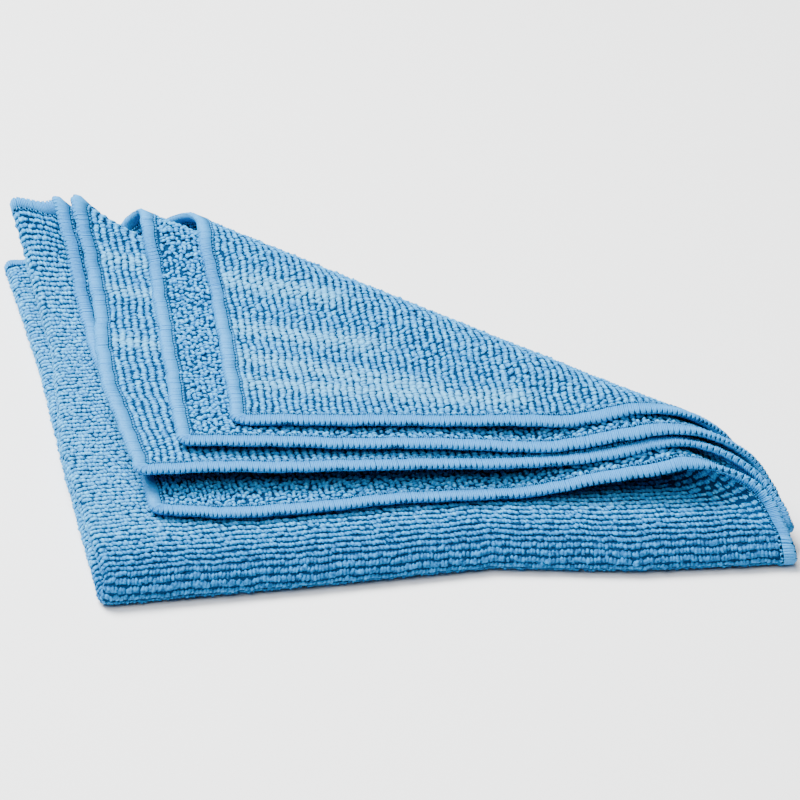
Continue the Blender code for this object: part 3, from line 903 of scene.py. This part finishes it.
def make_thread(stitches, step):
    """The thread's bars across the edge, the knots and the chain on both faces."""
    rng = np.random.default_rng(5)
    section = np.array(BAR_PATH)
    paths = [np.stack([bar * section[:, 2], section[:, 0], section[:, 1]], axis=1)
             for bar in BARS]
    bars = np.concatenate([repeated(path, stitches, step) for path in paths])
    bars[:, :, 0] += rng.normal(0, BAR_STRAY, (len(bars), 1))
    bars[:, :, 2] *= rng.normal(1, BAR_VARIES, (len(bars), 1))
    knots = repeated(KNOT_PATH, stitches, step)
    chain = repeated(CHAIN_PATH, stitches, step)
    under = chain * np.array([1.0, 1.0, -1.0])

    thread = overlock_thread()
    pieces = []
    for name, centres, radius, sides in (("hem_bars", bars, THREAD, 4),
                                         ("hem_knots", knots, KNOT, 5),
                                         ("hem_chain", chain, CHAIN, 4),
                                         ("hem_chain_under", under, CHAIN, 4)):
        points, faces = tubes(centres, radius, sides)
        pieces.append(add_mesh(name, hem_to_cloth(points), faces, thread))
    return pieces


def make_filling(stitches, step):
    """The cloth's edge inside the bars, as one closed ring round the cloth."""
    section = [(inset + FILLING_INSET, height * FILLING_SHARE) for inset, height, _ in BAR_PATH]
    points = np.array([(k * step, inset, height)
                       for k in range(stitches) for inset, height in section])
    wide = len(section)
    faces = []
    for k in range(stitches):
        a, b = k * wide, ((k + 1) % stitches) * wide
        for m in range(wide):
            n = (m + 1) % wide
            faces.append((a + m, b + m, b + n, a + n))
    return add_mesh("hem_filling", hem_to_cloth(points), faces, covered_edge())


def make_hem():
    """The hem's pieces, in a whole number of stitches round the cloth."""
    stitches = round(OUTLINE / STITCH)
    step = OUTLINE / stitches
    pieces = make_thread(stitches, step)
    pieces.append(make_filling(stitches, step))
    for piece in pieces:
        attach(piece, "root")
    return pieces


hem = make_hem()

# ---------------------------------------------------------------------------------------
# The studio: a plain pale floor, one broad soft light overhead and a weaker one in front.
# ---------------------------------------------------------------------------------------

FLOOR_COLOUR = linear("#F0F1F1")
FLOOR_SIZE = 6.0          # metres
LAMP_SIZE = 0.9           # metres across
LAMPS = (
    dict(name="overhead", place=(-0.5, 0.3, 1.25), watts=78.0),
    dict(name="front", place=(-0.3, -0.75, 1.2), watts=22.0),
)
ROOM_COLOUR = linear("#FFFFFF")
ROOM_LIGHT = 0.1          # the strength of the room's even light


def make_floor():
    """A plain floor of matt white board: it holds a soft shadow and no reflection."""
    material, _, shader = new_material("matt_white_board")
    shader.inputs["Base Color"].default_value = FLOOR_COLOUR
    shader.inputs["Roughness"].default_value = 0.9
    half = FLOOR_SIZE / 2
    corners = np.array([(-half, -half, 0), (half, -half, 0), (half, half, 0), (-half, half, 0)])
    floor = add_mesh("floor", corners, [(0, 1, 2, 3)], material)


def make_lamp(row):
    """A square soft lamp that points at the cloth."""
    lamp = bpy.data.lights.new(row["name"], "AREA")
    lamp.size = LAMP_SIZE
    lamp.energy = row["watts"]
    holder = bpy.data.objects.new(row["name"], lamp)
    holder.location = row["place"]
    holder.rotation_euler = (-Vector(row["place"])).to_track_quat("-Z", "Y").to_euler()
    bpy.context.scene.collection.objects.link(holder)


def make_room():
    """The faint even light of a white room."""
    room = bpy.data.worlds.new("studio")
    room.use_nodes = True
    background = room.node_tree.nodes["Background"]
    background.inputs["Color"].default_value = ROOM_COLOUR
    background.inputs["Strength"].default_value = ROOM_LIGHT
    bpy.context.scene.world = room


make_floor()
for row in LAMPS:
    make_lamp(row)
make_room()

# ---------------------------------------------------------------------------------------
# The camera: a long lens about a metre and a third away, looking down at thirty degrees.
# ---------------------------------------------------------------------------------------

CAMERA_AIM = (94.0 - ORIGIN[0], 107.3 - ORIGIN[1], -0.21)
CAMERA_AWAY = 1354.9      # mm from there
CAMERA_AZIMUTH = -5.89    # degrees
CAMERA_ELEVATION = 29.57  # degrees
LENS = 200.0              # mm
SENSOR = 36.0             # mm across


def make_camera():
    """The camera, with its place and lens."""
    azimuth, elevation = math.radians(CAMERA_AZIMUTH), math.radians(CAMERA_ELEVATION)
    back = Vector((math.sin(azimuth) * math.cos(elevation),
                   -math.cos(azimuth) * math.cos(elevation), math.sin(elevation)))
    lens = bpy.data.cameras.new("camera")
    lens.lens = LENS
    lens.sensor_width = SENSOR
    camera = bpy.data.objects.new("camera", lens)
    camera.location = (Vector(CAMERA_AIM) + back * CAMERA_AWAY) * MM
    camera.rotation_euler = back.to_track_quat("Z", "Y").to_euler()
    bpy.context.scene.collection.objects.link(camera)
    bpy.context.scene.camera = camera


make_camera()
